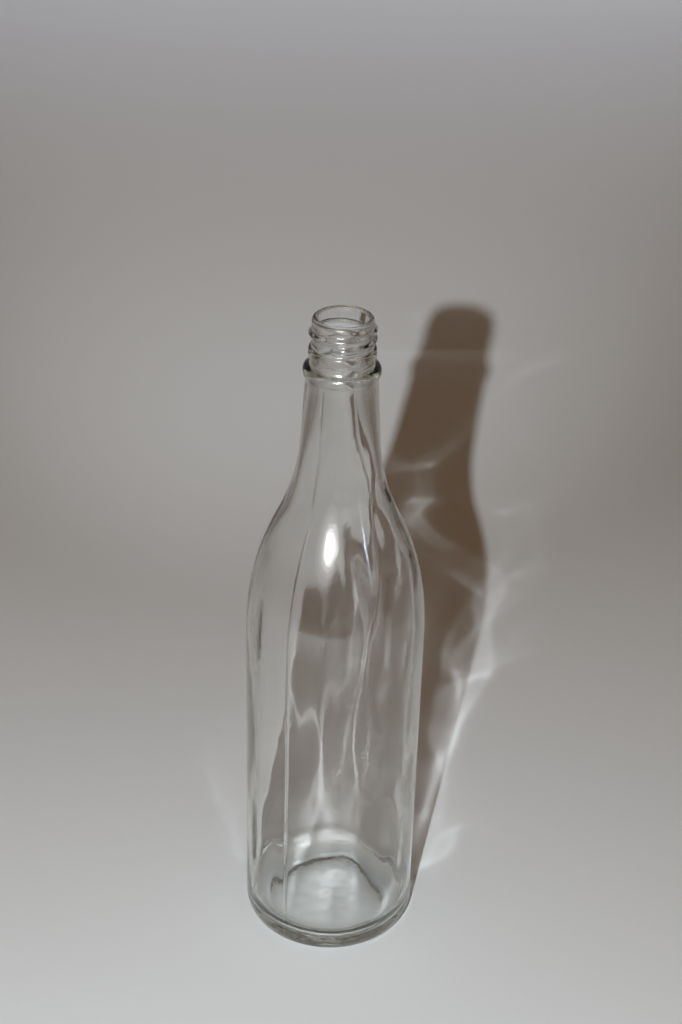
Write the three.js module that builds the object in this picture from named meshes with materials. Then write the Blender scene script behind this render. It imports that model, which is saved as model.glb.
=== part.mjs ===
// An empty 750 ml wine bottle in clear glass, with a screw finish and no cap.
// Millimetres, +Z up. The origin is the centre of the flat ring that the bottle stands on.
// The bottle is one turned wall: its outline runs from the underside, up the outside, over the lip
// and down the inside. The screw thread is then raised from the wall of the mouth.
import * as THREE from "three";

const { degToRad, euclideanModulo, lerp, smoothstep } = THREE.MathUtils;

// Overall form
const HEIGHT = 297;
const BODY_RADIUS = 38;
const HEEL_RADIUS = 8;
const SHOULDER_Z = 155.5;
const SHOULDER_ARC = 117; // the round shoulder, which swells out
const NECK_ARC = 95; // the hollow sweep from the shoulder into the neck
const NECK_TOP_RADIUS = 14.5;
const NECK_TOP_Z = 272;
const NECK_TAPER = degToRad(3.4);

// Base: a flat ring to stand on, round a shallow dome
const RING_INNER_RADIUS = 26.5;
const PUSH_UP_HEIGHT = 6.5;

// Wall and inside
const BODY_WALL = 2.7;
const BORE_RADIUS = 9.75;
const BORE_BOTTOM_Z = 268;
const WALL_GROWS_FROM_Z = 222;
const INNER_HEEL_RADIUS = 11;
const INNER_FLOOR_Z = 4.8;
const INNER_DOME_Z = 11.8;

// Mouth: lip, thread, locking ring, groove, and the bead at the top of the neck
const FINISH_RADIUS = 12.35;
const LIP_ROUND = 1.4;
const BORE_ROUND = 0.9;
const THREAD_ROOT_Z = 285.5;
const LOCKING_RING = { radius: 13.6, low: 279.9, high: 285.1 };
const GROOVE_RADIUS = 12.9;
const BEAD = { radius: 15.65, low: 272, high: 277.2 };
const RING_FULLNESS = 0.8; // 1 is a half ellipse, and less is fuller

// Thread: right-handed, so that it falls from right to left across the front
const THREAD_RISE = 1.2;
const THREAD_HALF_WIDTH = 2.3;
const THREAD_PITCH = 3.7;
const THREAD_TURNS = 1.4;
const THREAD_START_Z = 292.6;
const THREAD_START_ANGLE = degToRad(30);
const THREAD_FADE_TURNS = 0.08;

// Fineness of the mesh: sides round the axis, and rows along each stretch of the outline
const SIDES = 60;
const ROWS = {
  pushUp: 5,
  heel: 7,
  shoulder: 8,
  neckSweep: 6,
  ring: 8,
  thread: 18,
  lip: 4,
  boreEdge: 3,
  innerNeck: 5,
  innerShoulder: 8,
  innerHeel: 6,
  innerDome: 4,
};
const SAME_PLACE = 0.01;

// The hollow sweep touches both the shoulder's arc and the neck's slanted side.
function findNeckSweep() {
  const shoulderCentre = BODY_RADIUS - SHOULDER_ARC;
  const cos = Math.cos(NECK_TAPER);
  const sin = Math.sin(NECK_TAPER);
  // The way from the shoulder's centre to the sweep's, square to the neck's side and along it
  const reach = SHOULDER_ARC + NECK_ARC;
  const side = (NECK_TOP_RADIUS - shoulderCentre) * cos + (NECK_TOP_Z - SHOULDER_Z) * sin;
  const square = side + NECK_ARC;
  const along = Math.sqrt(reach ** 2 - square ** 2);
  const rise = square * sin + along * cos;
  return {
    r: shoulderCentre + square * cos - along * sin,
    z: SHOULDER_Z + rise,
    startZ: SHOULDER_Z + (rise * SHOULDER_ARC) / reach,
    endZ: SHOULDER_Z + rise - NECK_ARC * sin,
  };
}

const NECK_SWEEP = findNeckSweep();

// Outer radius at a height between the heel and the bead
function outerRadius(z) {
  if (z < SHOULDER_Z) return BODY_RADIUS;
  if (z < NECK_SWEEP.startZ) {
    return BODY_RADIUS - SHOULDER_ARC + Math.sqrt(SHOULDER_ARC ** 2 - (z - SHOULDER_Z) ** 2);
  }
  if (z < NECK_SWEEP.endZ) {
    return NECK_SWEEP.r - Math.sqrt(NECK_ARC ** 2 - (NECK_SWEEP.z - z) ** 2);
  }
  return NECK_TOP_RADIUS + (NECK_TOP_Z - z) * Math.tan(NECK_TAPER);
}

// Inner radius at a height between the inner heel and the bore, as the wall thickens up the neck
function innerRadius(z) {
  const boreWall = outerRadius(BORE_BOTTOM_Z) - BORE_RADIUS;
  const share = smoothstep(z, WALL_GROWS_FROM_Z, BORE_BOTTOM_Z);
  return outerRadius(z) - lerp(BODY_WALL, boreWall, share);
}

// Evenly spaced steps from 0 to 1, each turned into a point [radius, height]
function outline(rows, pointAt) {
  return Array.from({ length: rows + 1 }, (_, i) => pointAt(i / rows));
}

// A round stretch about a centre, by angles in degrees
function arc(centreR, centreZ, radius, fromDegrees, toDegrees, rows) {
  return outline(rows, (step) => {
    const angle = degToRad(lerp(fromDegrees, toDegrees, step));
    return [centreR + radius * Math.cos(angle), centreZ + radius * Math.sin(angle)];
  });
}

// A stretch of wall whose radius follows its height
function wall(radiusAt, fromZ, toZ, rows) {
  return outline(rows, (step) => {
    const z = lerp(fromZ, toZ, step);
    return [radiusAt(z), z];
  });
}

// A ring's section, which swells from the radius below it and comes back to the one above it
function swell(radiusBelow, ring, radiusAbove, rows) {
  return outline(rows, (step) => {
    const foot = step < 0.5 ? radiusBelow : radiusAbove;
    const rise = Math.sin(Math.PI * step) ** RING_FULLNESS;
    const climb = (1 - Math.cos(Math.PI * step)) / 2;
    return [lerp(foot, ring.radius, rise), lerp(ring.low, ring.high, climb)];
  });
}

// A dome from its top on the axis to its foot
function dome(topZ, footRadius, footZ, rows) {
  const rise = topZ - footZ;
  const radius = (footRadius ** 2 + rise ** 2) / (2 * rise);
  return outline(rows, (step) => {
    const r = footRadius * step;
    return [r, topZ - radius + Math.sqrt(radius ** 2 - r ** 2)];
  });
}

function outsideOutline() {
  return [
    ...dome(PUSH_UP_HEIGHT, RING_INNER_RADIUS, 0, ROWS.pushUp),
    ...arc(BODY_RADIUS - HEEL_RADIUS, HEEL_RADIUS, HEEL_RADIUS, -90, 0, ROWS.heel),
    ...wall(outerRadius, SHOULDER_Z, NECK_SWEEP.startZ, ROWS.shoulder),
    ...wall(outerRadius, NECK_SWEEP.startZ, NECK_SWEEP.endZ, ROWS.neckSweep).slice(1),
    ...swell(NECK_TOP_RADIUS, BEAD, GROOVE_RADIUS, ROWS.ring),
    ...swell(GROOVE_RADIUS, LOCKING_RING, FINISH_RADIUS, ROWS.ring),
    ...wall(() => FINISH_RADIUS, THREAD_ROOT_Z, HEIGHT - LIP_ROUND, ROWS.thread),
    ...arc(FINISH_RADIUS - LIP_ROUND, HEIGHT - LIP_ROUND, LIP_ROUND, 0, 90, ROWS.lip).slice(1),
  ];
}

function insideOutline() {
  const heelCentre = BODY_RADIUS - BODY_WALL - INNER_HEEL_RADIUS;
  const heelTopZ = INNER_FLOOR_Z + INNER_HEEL_RADIUS;
  return [
    ...arc(BORE_RADIUS + BORE_ROUND, HEIGHT - BORE_ROUND, BORE_ROUND, 90, 180, ROWS.boreEdge),
    ...wall(innerRadius, BORE_BOTTOM_Z, WALL_GROWS_FROM_Z, ROWS.innerNeck),
    ...wall(innerRadius, WALL_GROWS_FROM_Z, SHOULDER_Z, ROWS.innerShoulder).slice(1),
    ...arc(heelCentre, heelTopZ, INNER_HEEL_RADIUS, 0, -90, ROWS.innerHeel),
    ...dome(INNER_DOME_Z, heelCentre, INNER_FLOOR_Z, ROWS.innerDome).reverse().slice(1),
  ];
}

// How far the thread stands out of the mouth's wall at an angle and a height
function threadRise(angle, z) {
  const firstTurn = euclideanModulo((THREAD_START_ANGLE - angle) / (2 * Math.PI), 1);
  let rise = 0;
  for (let turn = firstTurn; turn < THREAD_TURNS; turn += 1) {
    const away = Math.abs(z - THREAD_START_Z + THREAD_PITCH * turn) / THREAD_HALF_WIDTH;
    const fadeIn = smoothstep(turn, 0, THREAD_FADE_TURNS);
    const fadeOut = smoothstep(THREAD_TURNS - turn, 0, THREAD_FADE_TURNS);
    if (away < 1) rise += fadeIn * fadeOut * Math.cos((away * Math.PI) / 2) ** 2;
  }
  return THREAD_RISE * Math.min(rise, 1);
}

// Raises the thread from the wall between the locking ring and the lip.
function raiseThread(geometry) {
  const position = geometry.getAttribute("position");
  const point = new THREE.Vector3();
  for (let i = 0; i < position.count; i += 1) {
    point.fromBufferAttribute(position, i);
    const radius = Math.hypot(point.x, point.y);
    const isOnWall = Math.abs(radius - FINISH_RADIUS) < SAME_PLACE;
    if (!isOnWall || point.z < THREAD_ROOT_Z - SAME_PLACE) continue;
    const stretch = 1 + threadRise(Math.atan2(point.y, point.x), point.z) / radius;
    position.setXY(i, point.x * stretch, point.y * stretch);
  }
  geometry.computeVertexNormals();
  return geometry;
}

function bottleGeometry() {
  const profile = [...outsideOutline(), ...insideOutline()].map(([r, z]) => new THREE.Vector2(r, z));
  const turned = new THREE.LatheGeometry(profile, SIDES);
  turned.rotateX(Math.PI / 2);
  return raiseThread(turned);
}

const clearGlass = new THREE.MeshStandardMaterial({
  color: "#dfe6e0",
  roughness: 0.03,
  metalness: 0,
  transparent: true,
  opacity: 0.35,
});

const bottle = new THREE.Mesh(bottleGeometry(), clearGlass);
bottle.name = "bottle";

const wineBottle = new THREE.Group();
wineBottle.add(bottle);

export default wineBottle;
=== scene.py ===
"""An empty wine bottle in clear glass, on a pale floor: laid out as an add-on, run as a script."""

import math

import bmesh
import bpy
import numpy as np
from bpy.props import FloatProperty, FloatVectorProperty, IntProperty, PointerProperty
from mathutils import Matrix, Vector, noise
from mathutils.bvhtree import BVHTree


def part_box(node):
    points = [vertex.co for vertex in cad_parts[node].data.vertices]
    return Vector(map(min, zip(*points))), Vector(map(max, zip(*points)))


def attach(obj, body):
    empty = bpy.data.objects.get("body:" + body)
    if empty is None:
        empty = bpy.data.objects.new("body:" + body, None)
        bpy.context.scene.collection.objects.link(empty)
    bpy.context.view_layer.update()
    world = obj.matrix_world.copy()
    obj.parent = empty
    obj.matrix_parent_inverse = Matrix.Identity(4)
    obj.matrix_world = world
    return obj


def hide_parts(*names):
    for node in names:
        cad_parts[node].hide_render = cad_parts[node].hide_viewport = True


bl_info = {
    "name": "Wine Bottle",
    "version": (1, 0, 0),
    "blender": (4, 5, 0),
    "location": "View3D > Sidebar > Bottle",
    "description": "Makes a clear glass wine bottle with a screw finish, and a stage for it",
    "category": "Add Mesh",
}

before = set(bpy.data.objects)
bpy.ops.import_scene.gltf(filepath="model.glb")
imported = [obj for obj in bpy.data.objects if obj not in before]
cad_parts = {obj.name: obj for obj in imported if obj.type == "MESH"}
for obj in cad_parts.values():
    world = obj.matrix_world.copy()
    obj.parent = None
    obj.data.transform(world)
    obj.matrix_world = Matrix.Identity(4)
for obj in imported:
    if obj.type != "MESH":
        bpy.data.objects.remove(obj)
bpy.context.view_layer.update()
NODE_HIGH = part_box("bottle")[1]

MM = 0.001
FULL_TURN = 2 * math.pi
SAME_PLACE = 0.05 * MM

# The finish: how soon a ring's section rises, and the turns over which the thread fades in and out
RING_RISE = 0.3
THREAD_FADE = 0.08

# The inner wall's waves: depth and length as shares of the set ones, stretch upwards, pattern
MAIN_WAVES = (1.0, 1.0, 5.5, 0)
WIDE_WAVES = (0.6, 2.4, 2.2, 20)
SMALL_WAVES = (0.4, 0.45, 4.5, 40)
BORE_CALM = 0.6
BASE_WAVES = 0.25
BASE_WAVE, BASE_WAVE_LENGTH, BASE_PATTERN = 0.3 * MM, 26 * MM, 4

# The outside: faint waves, the two mould seams, and the pitted skin under the base
SKIN_LENGTH, SKIN_STRETCH, SKIN_PATTERN = 18 * MM, 2.0, 5
SEAM_WIDTH, SEAM_FADE = 0.45 * MM, 5 * MM
SEAM_UNEVEN, SEAM_GRAIN, SEAM_PATTERN = 0.8, 2.5 * MM, 6
SEAM_PULL = 0.75  # how far the columns of vertices are gathered at the seams
PIT_LENGTH, PIT_FADE, PIT_PATTERN = 3.0 * MM, 2 * MM, 7
RIPPLE_LENGTH, RIPPLE_DEPTH = 5 * MM, 0.03 * MM

# The lamp's rays: their spacing, and how far they reach past the bottle to each side
RAY_STEP = 0.35 * MM
RAYS_LEFT, RAYS_RIGHT, RAYS_BELOW, RAYS_ABOVE = 10 * MM, 4 * MM, 5 * MM, 3 * MM
MOST_SURFACES = 10
JUST_PAST = 0.01 * MM
LEAST_FALL = 0.05  # a ray that falls less than this in its own length never lands

# The patch of floor that holds the light through the glass
THROUGH = "light_through_glass"
PATCH_LONG, PATCH_WIDE, PATCH_AHEAD, PATCH_FADE = 780 * MM, 190 * MM, 65 * MM, 25 * MM
FLOOR_STEP = 1.2 * MM
SUB_RAYS = 3  # each square between four rays is split this often, both ways
WIDEST_GAP = 14 * MM  # rays that land farther apart than this no longer hold together
BLUR_NEAR, BLUR_FAR, BLUR_GROWTH = 2, 16, 0.7
SCATTERED = 0.2  # share of the light that the finest unevenness throws far aside
SCATTER_FROM, SCATTER_OVER = 0.12, 0.15  # where that sets in, as shares of the patch's length

# The floor, in metres
FLOOR_RADIUS, FLOOR_BEND, FLOOR_HEIGHT, FLOOR_SIDES = 1.6, 0.5, 1.4, 96
FLOOR_DROP = 0.05 * MM  # it lies this far under the patch

# The camera, and the lamps that stand round it
CAMERA_PLACE = (0.0, -644.95 * MM, 585.07 * MM)
CAMERA_DOWN = math.radians(30.214)
CAMERA_TURN = math.radians(0.0986)
CAMERA_ROLL = math.radians(1.578)
CAMERA_LENS = 63.77  # millimetres, on a 36 mm sensor along the picture's long side
CAMERA_SENSOR = 36
KEY_PLACE, KEY_AIM = (-90 * MM, -645 * MM, 582 * MM), (0.0, 200 * MM, 0.0)
KEY_CONE, KEY_BLEND = math.radians(105), 0.5
FAR_AIM, FAR_CONE, FAR_BLEND = (0.0, 1.75, 0.0), math.radians(40), 1.0
BACK_PLACE, BACK_AIM = (0.0, 1.45, 1.6), (0.0, 1.85, 0.0)
FRONT_PLACE, FRONT_AIM = (0.0, -0.9, 1.6), (0.0, -1.9, 0.4)
WIDE_SIZE, WIDE_SPREAD = (2.4, 0.4), math.radians(80)

# The softboxes that only the glass mirrors: each one is a nest of rings, wider and dimmer outwards
GLEAM_AIM = (0.0, 0.0, 205 * MM)
GLEAM_RINGS, GLEAM_GROWTH, GLEAM_FADE = 5, 1.35, 0.45
GLEAMS = {
    "shoulder_gleam": {
        "place": (-160 * MM, -640 * MM, 430 * MM), "size": (160 * MM, 120 * MM), "brightness": 50,
    },
    "streak_gleam": {
        "place": (560 * MM, -500 * MM, 450 * MM), "size": (30 * MM, 200 * MM), "brightness": 34,
        "colour": "#cfe2ff",
    },
    "mouth_gleam": {
        "place": KEY_PLACE, "size": (120 * MM, 110 * MM), "brightness": 200, "inside": True,
    },
}


def linear(hex_code):
    """An sRGB hex value as the linear red, green and blue that Blender works in."""
    values = [int(hex_code[i : i + 2], 16) / 255 for i in (1, 3, 5)]
    return [v / 12.92 if v <= 0.04045 else ((v + 0.055) / 1.055) ** 2.4 for v in values]


def size_prop(name, description, default):
    """A length, in metres."""
    return FloatProperty(
        name=name, description=description, default=default, min=0.0, precision=5,
        subtype="DISTANCE", unit="LENGTH",
    )


def share_prop(name, description, default, highest=1.0):
    """A share or a count of turns, from 0 up."""
    return FloatProperty(
        name=name, description=description, default=default, min=0.0, max=highest,
        subtype="FACTOR",
    )


def power_prop(name, description, watts):
    """A lamp's power, in watts."""
    return FloatProperty(
        name=name, description=description, default=watts, min=0.0, subtype="POWER", unit="POWER"
    )


def angle_prop(name, description, degrees):
    """An angle, given in degrees."""
    return FloatProperty(
        name=name, description=description, default=math.radians(degrees), subtype="ANGLE",
        unit="ROTATION",
    )


def colour_prop(name, description, hex_code):
    """A colour, given as an sRGB hex value."""
    return FloatVectorProperty(
        name=name, description=description, default=linear(hex_code), size=3, min=0.0, max=1.0,
        subtype="COLOR",
    )


class BodySizes(bpy.types.PropertyGroup):
    """The bottle from its base to the top of its neck, outside and inside."""

    height: size_prop("Height", "From the floor to the lip", NODE_HIGH.z)
    radius: size_prop("Body radius", "Outside, in the straight part", NODE_HIGH.x)
    heel: size_prop("Heel", "Rounding from the base into the body", 8 * MM)
    shoulder_z: size_prop("Shoulder height", "Where the shoulder starts", 155.5 * MM)
    shoulder_arc: size_prop("Shoulder arc", "Radius of the round shoulder", 117 * MM)
    neck_arc: size_prop("Neck arc", "Radius of the hollow sweep into the neck", 95 * MM)
    neck_radius: size_prop("Neck radius", "Outside, just under the bead", 14.5 * MM)
    neck_z: size_prop("Neck height", "Top of the neck, where the bead starts", 272 * MM)
    neck_taper: angle_prop("Neck taper", "Slant of the neck's side", 3.4)
    ring_radius: size_prop("Ring radius", "Inner edge of the flat ring it stands on", 26.5 * MM)
    push_up: size_prop("Push-up", "Height of the dome under the base", 6.5 * MM)
    wall: size_prop("Wall", "Thickness of the glass in the body", 2.7 * MM)
    wall_grows_z: size_prop("Wall grows from", "Where the wall starts to thicken", 222 * MM)
    bore_z: size_prop("Bore height", "Bottom of the straight bore in the neck", 268 * MM)
    inner_heel: size_prop("Inner heel", "Rounding of the inside at the base", 11 * MM)
    inner_floor_z: size_prop("Inner floor", "Lowest level of the inside", 4.8 * MM)
    inner_dome_z: size_prop("Inner dome", "Top of the dome inside the base", 11.8 * MM)


class MouthSizes(bpy.types.PropertyGroup):
    """The screw finish: bead, groove, locking ring, thread, lip and bore."""

    radius: size_prop("Mouth radius", "Outside, between the thread's turns", 12.35 * MM)
    bore: size_prop("Bore radius", "Inside of the mouth", 9.75 * MM)
    lip_round: size_prop("Lip rounding", "Outer edge of the lip", 1.4 * MM)
    bore_round: size_prop("Bore rounding", "Inner edge of the lip", 0.9 * MM)
    thread_foot_z: size_prop("Thread foot", "Where the threaded wall starts", 285.5 * MM)
    ring_radius: size_prop("Locking ring radius", "Over its crest", 13.6 * MM)
    ring_low_z: size_prop("Locking ring foot", "Its lower edge", 279.9 * MM)
    ring_high_z: size_prop("Locking ring top", "Its upper edge", 285.1 * MM)
    groove: size_prop("Groove radius", "Between the bead and the locking ring", 12.9 * MM)
    bead_radius: size_prop("Bead radius", "Over its crest", 15.65 * MM)
    bead_high_z: size_prop("Bead top", "Its upper edge", 277.2 * MM)
    ring_fullness: share_prop("Ring fullness", "1 is a half ellipse, and less is fuller", 0.8)
    thread_rise: size_prop("Thread rise", "How far the thread stands out", 1.2 * MM)
    thread_half: size_prop("Thread half width", "From its crest to its foot", 2.3 * MM)
    thread_pitch: size_prop("Thread pitch", "Fall in one turn", 3.7 * MM)
    thread_turns: share_prop("Thread turns", "Length of the thread", 1.4, 3.0)
    thread_top_z: size_prop("Thread start height", "Its crest where it starts", 292.6 * MM)
    thread_angle: angle_prop("Thread start", "Where it starts, round from +X", 30)


class GlassMarks(bpy.types.PropertyGroup):
    """What blowing in a mould leaves in the wall."""

    wave: size_prop("Inner waves", "Depth of the waves in the inner wall", 1.1 * MM)
    wave_length: size_prop("Wave length", "Width of one inner wave round the bottle", 20 * MM)
    calm_z: size_prop("Calm height", "Below this the inner waves grow calmer", 75 * MM)
    skin: size_prop("Outer waves", "Depth of the faint waves outside", 0.045 * MM)
    pitting: size_prop("Pitting", "Depth of the uneven skin under the base", 0.22 * MM)
    seam: size_prop("Seam", "Height of the two mould seams", 0.16 * MM)
    seam_angle: angle_prop("Seam place", "Where the first seam is, round from +X", -120)
    pattern: IntProperty(
        name="Pattern", description="Another number gives other waves in the inner wall", default=8
    )
    sides: IntProperty(
        name="Sides", description="Steps round the axis", default=192, min=24, max=256
    )


class GlassLook(bpy.types.PropertyGroup):
    """The finish of the glass."""

    tint: colour_prop("Tint", "What is left of white light deep inside the glass", "#a9ac92")
    depth: FloatProperty(
        name="Tint depth", description="How fast the glass takes its tint, per metre", default=24.0
    )
    ior: FloatProperty(name="IOR", description="How far the glass bends light", default=1.52)
    roughness: share_prop("Roughness", "Dullness of the surface", 0.0)


class StageLook(bpy.types.PropertyGroup):
    """Floor, lights and camera."""

    floor: colour_prop("Floor", "Pale matt floor", "#dcdcda")
    room: colour_prop("Room", "What the glass mirrors and bends from all round", "#5c564b")
    fill: colour_prop("Fill light", "Dim warm light on the floor from all round", "#5f4526")
    key: colour_prop("Key light", "Of the small lamp beside the camera", "#f0f8ff")
    key_power: power_prop("Key power", "Of the small lamp beside the camera", 26)
    key_size: size_prop("Key size", "Radius of the small lamp beside the camera", 6 * MM)
    far_power: power_prop("Far power", "Of the same lamp's beam on the far floor", 62)
    back_power: power_prop("Back power", "Of the wide light on the backdrop", 3)
    front_power: power_prop("Front power", "Of the same light on the backdrop's near side", 3)
    back: colour_prop("Back light", "Of both wide lights", "#e4edff")
    gleam: FloatProperty(
        name="Gleam", description="Brightness of the softboxes that only the glass mirrors",
        default=1.0,
    )


def step_between(low, high, value):
    """0 below low, 1 above high, and a smooth rise between them."""
    share = min(max((value - low) / (high - low), 0.0), 1.0)
    return share * share * (3 - 2 * share)


def mix(a, b, share):
    return a + (b - a) * share


def outline(rows, point_at):
    """Points of an outline at even steps from 0 to 1, each as radius and height."""
    return [point_at(i / rows) for i in range(rows + 1)]


def arc(centre_r, centre_z, radius, start, end, rows):
    """A round stretch about a centre, by angles in degrees."""
    def point(step):
        angle = math.radians(mix(start, end, step))
        return centre_r + radius * math.cos(angle), centre_z + radius * math.sin(angle)

    return outline(rows, point)


def run(radius_at, start_z, end_z, rows):
    """A stretch of wall whose radius follows its height."""
    def point(step):
        z = mix(start_z, end_z, step)
        return radius_at(z), z

    return outline(rows, point)


def swell(below, crest, above, low_z, high_z, fullness, rows):
    """A ring's section, from the radius below it over its crest to the radius above it."""
    def point(step):
        foot = below if step < 0.5 else above
        away = abs(2 * step - 1)
        rise = (1 - away**2) ** (fullness / 2) if away < 1 else 0.0
        soft = step_between(0, RING_RISE, 1 - away)
        return mix(foot, crest, rise * soft), mix(low_z, high_z, step)

    return outline(rows, point)


def dome(top_z, foot_radius, foot_z, rows):
    """A dome from its top on the axis to its foot."""
    rise = top_z - foot_z
    radius = (foot_radius**2 + rise**2) / (2 * rise)

    def point(step):
        r = foot_radius * step
        return r, top_z - radius + math.sqrt(radius**2 - r**2)

    return outline(rows, point)


def soft_dome(top_z, foot_radius, foot_z, rows):
    """A dome that runs level into its foot."""
    def point(step):
        return foot_radius * step, mix(foot_z, top_z, (1 - step**2) ** 1.5)

    return outline(rows, point)


class Wall:
    """The bottle's outline, worked out from its sizes."""

    def __init__(self, body, mouth):
        self.body, self.mouth = body, mouth
        centre = body.radius - body.shoulder_arc
        cos, sin = math.cos(body.neck_taper), math.sin(body.neck_taper)
        reach = body.shoulder_arc + body.neck_arc
        side = (body.neck_radius - centre) * cos + (body.neck_z - body.shoulder_z) * sin
        square = side + body.neck_arc
        along = math.sqrt(reach**2 - square**2)
        rise = square * sin + along * cos
        self.sweep_r = centre + square * cos - along * sin
        self.sweep_z = body.shoulder_z + rise
        self.sweep_start = body.shoulder_z + rise * body.shoulder_arc / reach
        self.sweep_end = self.sweep_z - body.neck_arc * sin

    def outer_radius(self, z):
        """Outside radius at a height between the heel and the bead."""
        body = self.body
        if z < body.shoulder_z:
            return body.radius
        if z < self.sweep_start:
            drop = z - body.shoulder_z
            return body.radius - body.shoulder_arc + math.sqrt(body.shoulder_arc**2 - drop**2)
        if z < self.sweep_end:
            return self.sweep_r - math.sqrt(body.neck_arc**2 - (self.sweep_z - z) ** 2)
        return body.neck_radius + (body.neck_z - z) * math.tan(body.neck_taper)

    def inner_radius(self, z):
        """Inside radius at a height between the inner heel and the bore."""
        body = self.body
        bore_wall = self.outer_radius(body.bore_z) - self.mouth.bore
        share = step_between(body.wall_grows_z, body.bore_z, z)
        return self.outer_radius(z) - mix(body.wall, bore_wall, share)

    def outside(self):
        """From the axis under the base, up the outside and on to the lip."""
        body, mouth = self.body, self.mouth
        lip_z = body.height - mouth.lip_round
        return [
            *dome(body.push_up, body.ring_radius, 0.0, rows=26),
            *arc(body.radius - body.heel, body.heel, body.heel, -90, 0, rows=14),
            *run(self.outer_radius, body.heel, body.shoulder_z, rows=44)[1:],
            *run(self.outer_radius, body.shoulder_z, self.sweep_start, rows=22)[1:],
            *run(self.outer_radius, self.sweep_start, self.sweep_end, rows=18)[1:],
            *run(self.outer_radius, self.sweep_end, body.neck_z, rows=10)[1:-1],
            *swell(body.neck_radius, mouth.bead_radius, mouth.groove, body.neck_z,
                   mouth.bead_high_z, mouth.ring_fullness, rows=22),
            *swell(mouth.groove, mouth.ring_radius, mouth.radius, mouth.ring_low_z,
                   mouth.ring_high_z, mouth.ring_fullness, rows=20),
            *run(lambda z: mouth.radius, mouth.thread_foot_z, lip_z, rows=40),
            *arc(mouth.radius - mouth.lip_round, lip_z, mouth.lip_round, 0, 90, rows=8)[1:],
        ]

    def inside(self):
        """From the lip, down the inside and on to the axis over the base."""
        body, mouth = self.body, self.mouth
        heel_r = body.radius - body.wall - body.inner_heel
        heel_z = body.inner_floor_z + body.inner_heel
        edge_r, edge_z = mouth.bore + mouth.bore_round, body.height - mouth.bore_round
        return [
            (mouth.radius - mouth.lip_round, body.height),
            *arc(edge_r, edge_z, mouth.bore_round, 90, 180, rows=7),
            *run(lambda z: mouth.bore, edge_z, body.bore_z, rows=14)[1:],
            *run(self.inner_radius, body.bore_z, body.wall_grows_z, rows=20)[1:],
            *run(self.inner_radius, body.wall_grows_z, body.shoulder_z, rows=30)[1:],
            *run(self.inner_radius, body.shoulder_z, heel_z, rows=60)[1:],
            *arc(heel_r, heel_z, body.inner_heel, 0, -90, rows=16)[1:],
            *soft_dome(body.inner_dome_z, heel_r, body.inner_floor_z, rows=20)[::-1][1:],
        ]


def spin_outline(bm, points, sides):
    """Turns an outline once round the axis, and gives back the new vertices."""
    before = set(bm.verts)
    verts = [bm.verts.new((r, 0.0, z)) for r, z in points]
    edges = [bm.edges.new(pair) for pair in zip(verts, verts[1:])]
    bmesh.ops.spin(
        bm, geom=verts + edges, cent=(0, 0, 0), axis=(0, 0, 1), dvec=(0, 0, 0),
        angle=FULL_TURN, steps=sides, use_merge=True, use_duplicate=False,
    )
    return [v for v in bm.verts if v not in before]


def wave_at(point, length, stretch, seed):
    """A smooth number from -1 to 1, which changes over a length, and slower up the bottle."""
    place = Vector((point.x, point.y, point.z / stretch)) / length
    return noise.noise(place + Vector((seed, 2 * seed, 3 * seed)))


def push_out(vert, distance):
    """Moves a vertex straight away from the axis."""
    radius = math.hypot(vert.co.x, vert.co.y)
    if radius > MM:
        vert.co.x *= 1 + distance / radius
        vert.co.y *= 1 + distance / radius


def gather_columns(verts, seam_angle):
    """Turns the columns of vertices towards the two seams, so that the seams come out sharp."""
    for vert in verts:
        angle = math.atan2(vert.co.y, vert.co.x)
        turn = -SEAM_PULL / 2 * math.sin(2 * (angle - seam_angle))
        vert.co.rotate(Matrix.Rotation(turn, 3, "Z"))


def thread_rise(mouth, angle, z):
    """How far the thread stands out of the mouth's wall at an angle and a height."""
    turn = ((mouth.thread_angle - angle) / FULL_TURN) % 1
    rise = 0.0
    while turn < mouth.thread_turns:
        away = abs(z - mouth.thread_top_z + mouth.thread_pitch * turn) / mouth.thread_half
        ends = step_between(0, THREAD_FADE, turn)
        ends *= step_between(0, THREAD_FADE, mouth.thread_turns - turn)
        if away < 1:
            rise += ends * math.cos(away * math.pi / 2) ** 2
        turn += 1
    return mouth.thread_rise * min(rise, 1.0)


def seam_rise(point, angle, marks):
    """How far the nearer of the two mould seams stands out at a point."""
    radius = math.hypot(point.x, point.y)
    away = radius * abs((angle - marks.seam_angle + math.pi / 2) % math.pi - math.pi / 2)
    uneven = 1 + SEAM_UNEVEN * wave_at(point, SEAM_GRAIN, 1.0, SEAM_PATTERN)
    return marks.seam * uneven * math.exp(-((away / SEAM_WIDTH) ** 2))


def shape_outside(verts, body, mouth, marks):
    """Raises the thread and the mould seams, and makes the skin faintly uneven."""
    foot_z, lip_z = mouth.thread_foot_z, body.height - mouth.lip_round
    for vert in verts:
        angle, z = math.atan2(vert.co.y, vert.co.x), vert.co.z
        radius = math.hypot(vert.co.x, vert.co.y)
        on_thread = foot_z - SAME_PLACE < z < lip_z + SAME_PLACE
        if on_thread and abs(radius - mouth.radius) < SAME_PLACE:
            push_out(vert, thread_rise(mouth, angle, z))
        in_mould = step_between(0, body.heel, z)
        in_mould *= step_between(body.neck_z, body.neck_z - SEAM_FADE, z)
        skin = marks.skin * wave_at(vert.co, SKIN_LENGTH, SKIN_STRETCH, SKIN_PATTERN)
        push_out(vert, in_mould * (seam_rise(vert.co, angle, marks) + skin))
        if radius < body.ring_radius and z < body.push_up + SAME_PLACE:
            pit = marks.pitting * step_between(0, PIT_FADE, z)
            vert.co.z += pit * wave_at(vert.co, PIT_LENGTH, 1.0, PIT_PATTERN)


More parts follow.
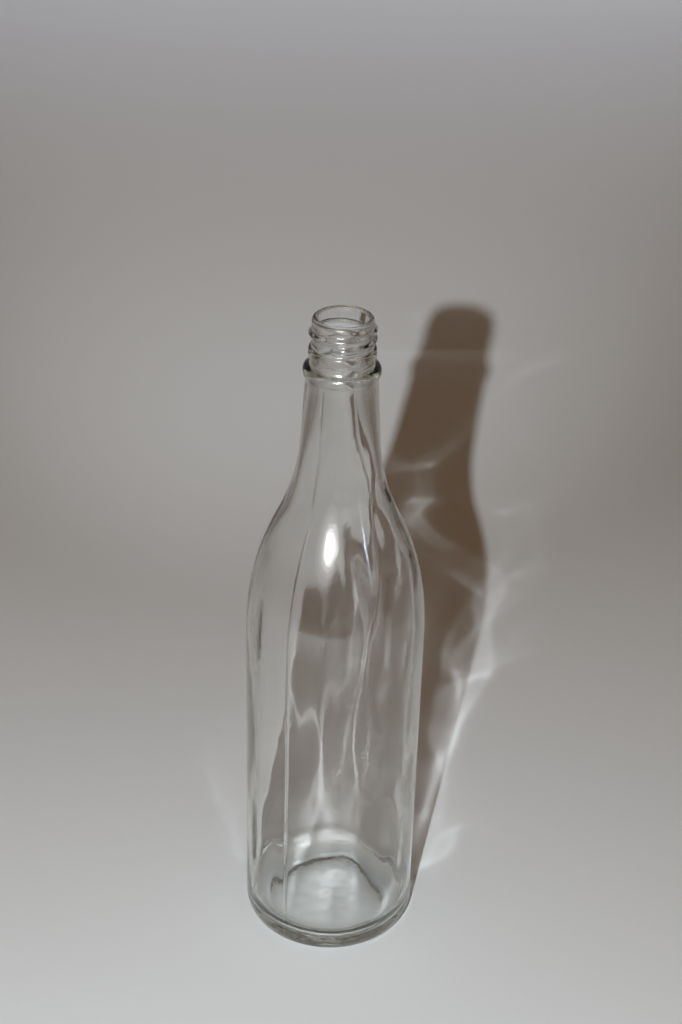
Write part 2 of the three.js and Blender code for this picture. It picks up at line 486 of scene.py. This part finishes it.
def shape_inside(verts, body, marks):
    """Makes the inner wall wavy, as blowing leaves it: most in the body, least at the base."""
    for vert in verts:
        share = 1 - BORE_CALM * step_between(body.wall_grows_z, body.bore_z, vert.co.z)
        share *= mix(BASE_WAVES, 1, step_between(0, marks.calm_z, vert.co.z))
        wave = sum(
            depth * wave_at(vert.co, length * marks.wave_length, stretch, marks.pattern + pattern)
            for depth, length, stretch, pattern in (MAIN_WAVES, WIDE_WAVES, SMALL_WAVES)
        )
        push_out(vert, share * marks.wave * wave)
        if vert.co.z < body.inner_dome_z + 2 * MM:
            vert.co.z += BASE_WAVE * wave_at(vert.co, BASE_WAVE_LENGTH, 1.0, BASE_PATTERN)


def add_node(tree, kind, inputs=None, **settings):
    """Adds a node. inputs gives each socket a value, or another node's socket to link to it."""
    node = tree.nodes.new(kind)
    for name, value in settings.items():
        setattr(node, name, value)
    for name, value in (inputs or {}).items():
        if isinstance(value, bpy.types.NodeSocket):
            tree.links.new(value, node.inputs[name])
        else:
            node.inputs[name].default_value = value
    return node


def new_material(name):
    """An empty material, and its node tree."""
    material = bpy.data.materials.new(name)
    material.use_nodes = True
    material.node_tree.nodes.clear()
    return material, material.node_tree


def flint_glass(look):
    """Clear soda-lime glass, blown in an iron mould: it bends what is behind it, mirrors lamps
    sharply, and gathers a faint grey-green where it is seen edge on."""
    material, tree = new_material("flint_glass_blown")
    place = add_node(tree, "ShaderNodeTexCoord").outputs["Object"]
    ripple = add_node(tree, "ShaderNodeTexNoise", {
        "Vector": place, "Scale": 1 / RIPPLE_LENGTH, "Detail": 2.0, "Roughness": 0.5,
    })
    relief = add_node(tree, "ShaderNodeBump", {
        "Height": ripple.outputs["Fac"], "Strength": 1.0, "Distance": RIPPLE_DEPTH,
    })
    surface = add_node(tree, "ShaderNodeBsdfPrincipled", {
        "Base Color": (1, 1, 1, 1), "Roughness": look.roughness, "IOR": look.ior,
        "Transmission Weight": 1.0, "Normal": relief.outputs["Normal"],
    })
    inside = add_node(tree, "ShaderNodeVolumeAbsorption", {
        "Color": (*look.tint, 1), "Density": look.depth,
    })
    add_node(tree, "ShaderNodeOutputMaterial", {
        "Surface": surface.outputs["BSDF"], "Volume": inside.outputs["Volume"],
    })
    return material


def matt_floor(look):
    """Pale matt paper, with no pattern. Painted light: it glows where the key lamp's light, traced
    through the glass, lands on it.
    """
    material, tree = new_material("matt_pale_paper")
    through = add_node(tree, "ShaderNodeAttribute", attribute_name=THROUGH)
    # Painted light: the traced light through the glass, given to the floor as emission in the key
    # lamp's colour
    glow = add_node(tree, "ShaderNodeMath", {
        0: through.outputs["Fac"], 1: look.key_power / (2 * math.pi) ** 2,
    }, operation="MULTIPLY")
    colour = [floor * key for floor, key in zip(look.floor, look.key)]
    surface = add_node(tree, "ShaderNodeBsdfPrincipled", {
        "Base Color": (*look.floor, 1), "Roughness": 0.9, "Specular IOR Level": 0.2,
        "Emission Color": (*colour, 1), "Emission Strength": glow.outputs[0],
    })
    add_node(tree, "ShaderNodeOutputMaterial", {"Surface": surface.outputs["BSDF"]})
    return material


def finished_object(name, bm, material):
    """A smooth object from a bmesh whose doubles are merged and whose faces point outwards."""
    bmesh.ops.remove_doubles(bm, verts=bm.verts, dist=0.005 * MM)
    bmesh.ops.recalc_face_normals(bm, faces=bm.faces)
    mesh = bpy.data.meshes.new(name)
    bm.to_mesh(mesh)
    bm.free()
    mesh.shade_smooth()
    mesh.materials.append(material)
    made = bpy.data.objects.new(name, mesh)
    bpy.context.scene.collection.objects.link(made)
    return made


class BOTTLE_OT_glass(bpy.types.Operator):
    """Blow the glass bottle"""

    bl_idname = "bottle.glass"
    bl_label = "Glass bottle"

    def execute(self, context):
        settings = context.scene.bottle
        body, mouth, marks = settings.body, settings.mouth, settings.marks
        wall = Wall(body, mouth)
        bm = bmesh.new()
        outside = spin_outline(bm, wall.outside(), marks.sides)
        inside = spin_outline(bm, wall.inside(), marks.sides)
        gather_columns(bm.verts, marks.seam_angle)
        shape_outside(outside, body, mouth, marks)
        shape_inside(inside, body, marks)
        glass = finished_object("bottle_glass", bm, flint_glass(settings.glass))
        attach(glass, "root")
        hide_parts("bottle")
        return {"FINISHED"}


def surface_of(piece):
    """A tree that finds where rays meet a piece, with its triangles' corners and normals."""
    mesh = piece.data
    mesh.calc_loop_triangles()
    corners = np.empty(3 * len(mesh.loop_triangles), np.int32)
    places = np.empty(3 * len(mesh.vertices), np.float32)
    normals = np.empty_like(places)
    mesh.loop_triangles.foreach_get("vertices", corners)
    mesh.vertices.foreach_get("co", places)
    mesh.vertices.foreach_get("normal", normals)
    corners, places, normals = (a.reshape(-1, 3) for a in (corners, places, normals))
    tree = BVHTree.FromPolygons(places.tolist(), corners.tolist(), all_triangles=True)
    return tree, places[corners].astype(float), normals[corners].astype(float)


def dots(a, b):
    return np.sum(a * b, axis=-1)


def normals_at(points, triangles, normals):
    """Smooth normals at points on triangles, mixed from those at their corners."""
    first, second, third = (triangles[:, i] for i in range(3))
    face = np.cross(second - first, third - first)
    size = dots(face, face)
    to_second = dots(np.cross(points - first, third - first), face) / size
    to_third = dots(np.cross(second - first, points - first), face) / size
    shares = np.stack([1 - to_second - to_third, to_second, to_third], axis=1)
    mixed = dots(normals.transpose(0, 2, 1), shares[:, None, :])
    return mixed / np.linalg.norm(mixed, axis=1, keepdims=True)


def bend(ways, normals, ratio):
    """Bends rays at a surface, and gives the share of their light that goes through it."""
    cos_in = -dots(ways, normals)
    square = 1 - ratio**2 * (1 - cos_in**2)
    cos_out = np.sqrt(np.maximum(square, 0))
    bent = ratio[:, None] * ways + (ratio * cos_in - cos_out)[:, None] * normals
    across = (ratio * cos_in - cos_out) / (ratio * cos_in + cos_out)
    along = (ratio * cos_out - cos_in) / (ratio * cos_out + cos_in)
    return bent, np.where(square > 0, 1 - (across**2 + along**2) / 2, 0)


def follow(surface, places, ways, ior, dimming):
    """Follows rays through glass to the floor: where they land, and the share of their light."""
    tree, triangles, normals = surface
    light = np.zeros(len(places))
    flying, share = np.arange(len(places)), np.ones(len(places))
    for turn in range(MOST_SURFACES):
        rays = zip(places[flying].tolist(), ways[flying].tolist())
        hits = [tree.ray_cast(place, way)[2:] for place, way in rays]
        met = np.array([face is not None for face, _ in hits])
        if turn:
            light[flying[~met]] = share[~met]
        flying, share = flying[met], share[met]
        if not len(flying):
            break
        faces, reach = (np.array(a) for a in zip(*(hit for hit in hits if hit[0] is not None)))
        points = places[flying] + ways[flying] * reach[:, None]
        normal = normals_at(points, triangles[faces], normals[faces])
        leaving = dots(ways[flying], normal) > 0
        normal[leaving] *= -1
        bent, passed = bend(ways[flying], normal, np.where(leaving, ior, 1 / ior))
        passed *= np.where(leaving, np.exp(-dimming * reach), 1)
        ways[flying], places[flying] = bent, points + bent * JUST_PAST
        flying, share = flying[passed > 0], (share * passed)[passed > 0]
    down = ways[:, 2] < -LEAST_FALL
    light[~down] = 0
    to_floor = places[:, 2] / np.where(down, ways[:, 2], -1)
    return places[:, :2] - ways[:, :2] * to_floor[:, None], light


def rays_from(lamp, low, high):
    """Rays from the lamp through an even grid on the upright plane of the bottle's axis."""
    across = np.arange(low[0], high[0], RAY_STEP)
    up = np.arange(low[1], high[1], RAY_STEP)
    aims = np.stack(np.meshgrid(across, [0.0], up, indexing="ij"), axis=-1)[:, 0]
    ways = aims - np.array(lamp)
    far = np.linalg.norm(ways, axis=-1, keepdims=True)
    ways /= far
    widths = RAY_STEP**2 * np.abs(ways[..., 1]) / far[..., 0] ** 2
    return ways, widths


def gather(landed, light, to_grid, shape):
    """Adds up the light that lands on each square of a grid on the floor."""
    corners = [landed[:-1, :-1], landed[1:, :-1], landed[1:, 1:], landed[:-1, 1:]]
    lights = np.stack([light[:-1, :-1], light[1:, :-1], light[1:, 1:], light[:-1, 1:]])
    gaps = [np.linalg.norm(corners[i] - corners[i + 2], axis=-1) for i in (0, 1)]
    whole = (lights.min(axis=0) > 0) & (np.maximum(*gaps) < WIDEST_GAP)
    corners = [corner[whole] for corner in corners]
    flux = lights.mean(axis=0)[whole] / SUB_RAYS**2
    total = np.zeros(shape[0] * shape[1])
    steps = (np.arange(SUB_RAYS) + 0.5) / SUB_RAYS
    for i in steps:
        for j in steps:
            near, far = mix(corners[0], corners[1], i), mix(corners[3], corners[2], i)
            squares = np.floor(to_grid(mix(near, far, j))).astype(int)
            kept = np.all((squares >= 0) & (squares < np.array(shape)), axis=-1)
            index = squares[kept, 0] * shape[1] + squares[kept, 1]
            total += np.bincount(index, weights=flux[kept], minlength=len(total))
    return total.reshape(shape)


def soften(grid, turns):
    """Blurs a grid, a little more with each turn."""
    for _ in range(turns):
        for axis in (0, 1):
            grid = (np.roll(grid, 1, axis) + 2 * grid + np.roll(grid, -1, axis)) / 4
    return grid


def light_through(glass, finish, lamp, to_grid, shape):
    """The key lamp's light that reaches each square of the floor through the glass."""
    dimming = finish.depth * (1 - sum(finish.tint) / 3)
    side, below = NODE_HIGH.x, NODE_HIGH.x * lamp[2] / abs(lamp[1])
    low = (-side - RAYS_LEFT, -below - RAYS_BELOW)
    high = (side + RAYS_RIGHT, NODE_HIGH.z + RAYS_ABOVE)
    ways, widths = rays_from(lamp, low, high)
    flat = ways.reshape(-1, 3)
    starts = np.tile(np.array(lamp), (len(flat), 1))
    landed, light = follow(surface_of(glass), starts, flat.copy(), finish.ior, dimming)
    landed, light = landed.reshape(*widths.shape, 2), light.reshape(widths.shape) * widths
    grid = gather(landed, light, to_grid, shape) / FLOOR_STEP**2
    # The lamp's own width and the glass's fine unevenness soften the light with its distance
    far = np.linspace(0, 1, shape[1])
    softened = mix(soften(grid, BLUR_NEAR), soften(grid, BLUR_FAR), far**BLUR_GROWTH)
    return softened * (1 - SCATTERED * np.clip((far - SCATTER_FROM) / SCATTER_OVER, 0, 1))


def hold_light(mesh, light, to_grid, shape):
    """Gives each vertex of the patch the light of its square, less and less towards the edge."""
    places = np.empty(3 * len(mesh.vertices), np.float32)
    mesh.vertices.foreach_get("co", places)
    at = to_grid(places.reshape(-1, 3)[:, :2].astype(float))
    edge = np.minimum(at, np.array(shape) - at) * FLOOR_STEP / PATCH_FADE
    fade = np.clip(edge.min(axis=1), 0, 1)
    at = np.clip(at, 0, np.array(shape) - 1).astype(int)
    held = mesh.attributes.new(THROUGH, "FLOAT", "POINT")
    held.data.foreach_set("value", (light[at[:, 0], at[:, 1]] * fade).astype(np.float32))


def make_lit_patch(glass, finish):
    """A fine patch of floor behind the bottle, which holds the light that comes through it."""
    turn = math.atan2(-KEY_PLACE[0], -KEY_PLACE[1])
    shape = (round(PATCH_WIDE / FLOOR_STEP), round(PATCH_LONG / FLOOR_STEP))
    placing = (
        Matrix.Rotation(-turn, 4, "Z")
        @ Matrix.Translation((0, PATCH_LONG / 2 - PATCH_AHEAD, 0))
        @ Matrix.Diagonal((shape[0] * FLOOR_STEP / 2, shape[1] * FLOOR_STEP / 2, 1, 1))
    )
    back = np.array(placing.inverted())

    def to_grid(points):
        own = points @ back[:2, :2].T + back[:2, 3]
        return (own + 1) / 2 * np.array(shape)

    light = light_through(glass, finish, KEY_PLACE, to_grid, shape)
    bm = bmesh.new()
    bmesh.ops.create_grid(
        bm, x_segments=shape[0] - 1, y_segments=shape[1] - 1, size=1, matrix=placing
    )
    patch = finished_object("floor_patch", bm, bpy.data.materials["matt_pale_paper"])
    hold_light(patch.data, light, to_grid, shape)


def make_floor(look):
    """A floor that curves up into a low wall all round, just under the fine patch."""
    bm = bmesh.new()
    points = [(0.0, 0.0), *arc(FLOOR_RADIUS, FLOOR_BEND, FLOOR_BEND, -90, 0, rows=16)]
    points.append((FLOOR_RADIUS + FLOOR_BEND, FLOOR_HEIGHT))
    spin_outline(bm, [(r, z - FLOOR_DROP) for r, z in points], FLOOR_SIDES)
    floor = finished_object("floor", bm, matt_floor(look))


def add_gleam(name, mirrors, share, place, size, brightness, colour="#ffffff", inside=False):
    """Nested softboxes with a soft edge, seen only where the glass mirrors them, or inside it."""
    for i in range(GLEAM_RINGS):
        wide, high = (side * GLEAM_GROWTH**i for side in size)
        power = math.pi * wide * high * share * brightness * GLEAM_FADE ** (i + 1)
        light = add_softbox(f"{name}_{i}", place, GLEAM_AIM, (wide, high), power, linear(colour))
        light.data.shape = "ELLIPSE"
        light.visible_transmission = inside
        light.light_linking.receiver_collection = mirrors


def add_gleams(share, glass):
    """All the gleams. Their light falls on the glass alone."""
    mirrors = bpy.data.collections.new("mirrors_gleams")
    mirrors.objects.link(glass)
    for name, gleam in GLEAMS.items():
        add_gleam(name, mirrors, share, **gleam)


def add_softbox(name, place, aim, size, power, colour, spread=math.pi):
    """A flat light of a width and a height, which looks at a point."""
    data = bpy.data.lights.new(name, "AREA")
    data.shape, data.size, data.size_y, data.spread = "RECTANGLE", *size, spread
    data.energy, data.color = power, colour
    light = aim_at(bpy.data.objects.new(name, data), place, aim)
    light.visible_camera = False
    return light


def aim_at(made, place, aim):
    """Puts a light or a camera at a place, looking at a point."""
    made.location = place
    made.rotation_euler = (Vector(aim) - Vector(place)).to_track_quat("-Z", "Y").to_euler()
    bpy.context.scene.collection.objects.link(made)
    return made


def add_key(name, look, power, aim, cone, blend):
    """A small bare lamp beside the camera, shaded towards the room behind it."""
    data = bpy.data.lights.new(name, "SPOT")
    data.energy, data.shadow_soft_size, data.color = power, look.key_size, look.key
    data.spot_size, data.spot_blend = cone, blend
    aim_at(bpy.data.objects.new(name, data), KEY_PLACE, aim)


def add_world(look):
    """A dim warm light for matt surfaces, and a lighter grey room for the glass to show."""
    world = bpy.data.worlds.new("dim_room")
    world.use_nodes = True
    tree = world.node_tree
    tree.nodes.clear()
    path = add_node(tree, "ShaderNodeLightPath").outputs
    in_glass = add_node(tree, "ShaderNodeMath", {
        0: path["Is Glossy Ray"], 1: path["Is Transmission Ray"],
    }, operation="MAXIMUM")
    fill = add_node(tree, "ShaderNodeBackground", {"Color": (*look.fill, 1)})
    seen = add_node(tree, "ShaderNodeBackground", {"Color": (*look.room, 1)})
    both = add_node(tree, "ShaderNodeMixShader", {
        0: in_glass.outputs[0], 1: fill.outputs[0], 2: seen.outputs[0],
    })
    add_node(tree, "ShaderNodeOutputWorld", {"Surface": both.outputs[0]})
    bpy.context.scene.world = world


def add_camera():
    """The camera, where the photo was taken from."""
    data = bpy.data.cameras.new("camera")
    data.lens, data.sensor_width = CAMERA_LENS, CAMERA_SENSOR
    camera = bpy.data.objects.new("camera", data)
    camera.matrix_world = (
        Matrix.Translation(CAMERA_PLACE)
        @ Matrix.Rotation(-CAMERA_TURN, 4, "Z")
        @ Matrix.Rotation(math.pi / 2 - CAMERA_DOWN, 4, "X")
        @ Matrix.Rotation(CAMERA_ROLL, 4, "Z")
    )
    bpy.context.scene.collection.objects.link(camera)
    bpy.context.scene.camera = camera


def set_light_paths(scene):
    """Plain colours, and paths long enough to cross every wall of the bottle several times."""
    scene.view_settings.view_transform = "Standard"
    scene.cycles.use_denoising = True
    scene.cycles.sample_clamp_indirect = 4
    scene.cycles.max_bounces = 32
    scene.cycles.glossy_bounces = 20
    scene.cycles.transmission_bounces = 24


class BOTTLE_OT_stage(bpy.types.Operator):
    """Set up the floor, the lights and the camera"""

    bl_idname = "bottle.stage"
    bl_label = "Stage"

    def execute(self, context):
        look = context.scene.bottle.stage
        glass = bpy.data.objects["bottle_glass"]
        make_floor(look)
        make_lit_patch(glass, context.scene.bottle.glass)
        add_world(look)
        add_key("key", look, look.key_power, KEY_AIM, KEY_CONE, KEY_BLEND)
        add_key("key_far", look, look.far_power, FAR_AIM, FAR_CONE, FAR_BLEND)
        for name, place, aim, power in (
            ("back_light", BACK_PLACE, BACK_AIM, look.back_power),
            ("front_light", FRONT_PLACE, FRONT_AIM, look.front_power),
        ):
            add_softbox(name, place, aim, WIDE_SIZE, power, look.back, WIDE_SPREAD)
        add_gleams(look.gleam, glass)
        add_camera()
        set_light_paths(context.scene)
        return {"FINISHED"}


class BottleSettings(bpy.types.PropertyGroup):
    """All the settings of the bottle and its stage."""

    body: PointerProperty(type=BodySizes)
    mouth: PointerProperty(type=MouthSizes)
    marks: PointerProperty(type=GlassMarks)
    glass: PointerProperty(type=GlassLook)
    stage: PointerProperty(type=StageLook)


class BOTTLE_PT_panel(bpy.types.Panel):
    """Lists the steps that make the bottle"""

    bl_idname = "BOTTLE_PT_panel"
    bl_label = "Wine Bottle"
    bl_space_type = "VIEW_3D"
    bl_region_type = "UI"
    bl_category = "Bottle"

    def draw(self, context):
        for operator in (BOTTLE_OT_glass, BOTTLE_OT_stage):
            self.layout.operator(operator.bl_idname)
        for group in ("body", "mouth", "marks", "glass", "stage"):
            settings = getattr(context.scene.bottle, group)
            box = self.layout.box()
            for name in settings.__annotations__:
                box.prop(settings, name)


CLASSES = (
    BodySizes,
    MouthSizes,
    GlassMarks,
    GlassLook,
    StageLook,
    BottleSettings,
    BOTTLE_OT_glass,
    BOTTLE_OT_stage,
    BOTTLE_PT_panel,
)


def register():
    """Makes the settings, the operators and the panel known to Blender."""
    for cls in CLASSES:
        bpy.utils.register_class(cls)
    bpy.types.Scene.bottle = PointerProperty(type=BottleSettings)


def unregister():
    """Takes them away again."""
    del bpy.types.Scene.bottle
    for cls in reversed(CLASSES):
        bpy.utils.unregister_class(cls)


def main():
    """Makes the bottle and its stage."""
    register()
    bpy.ops.bottle.glass()
    bpy.ops.bottle.stage()


if __name__ == "__main__":
    main()
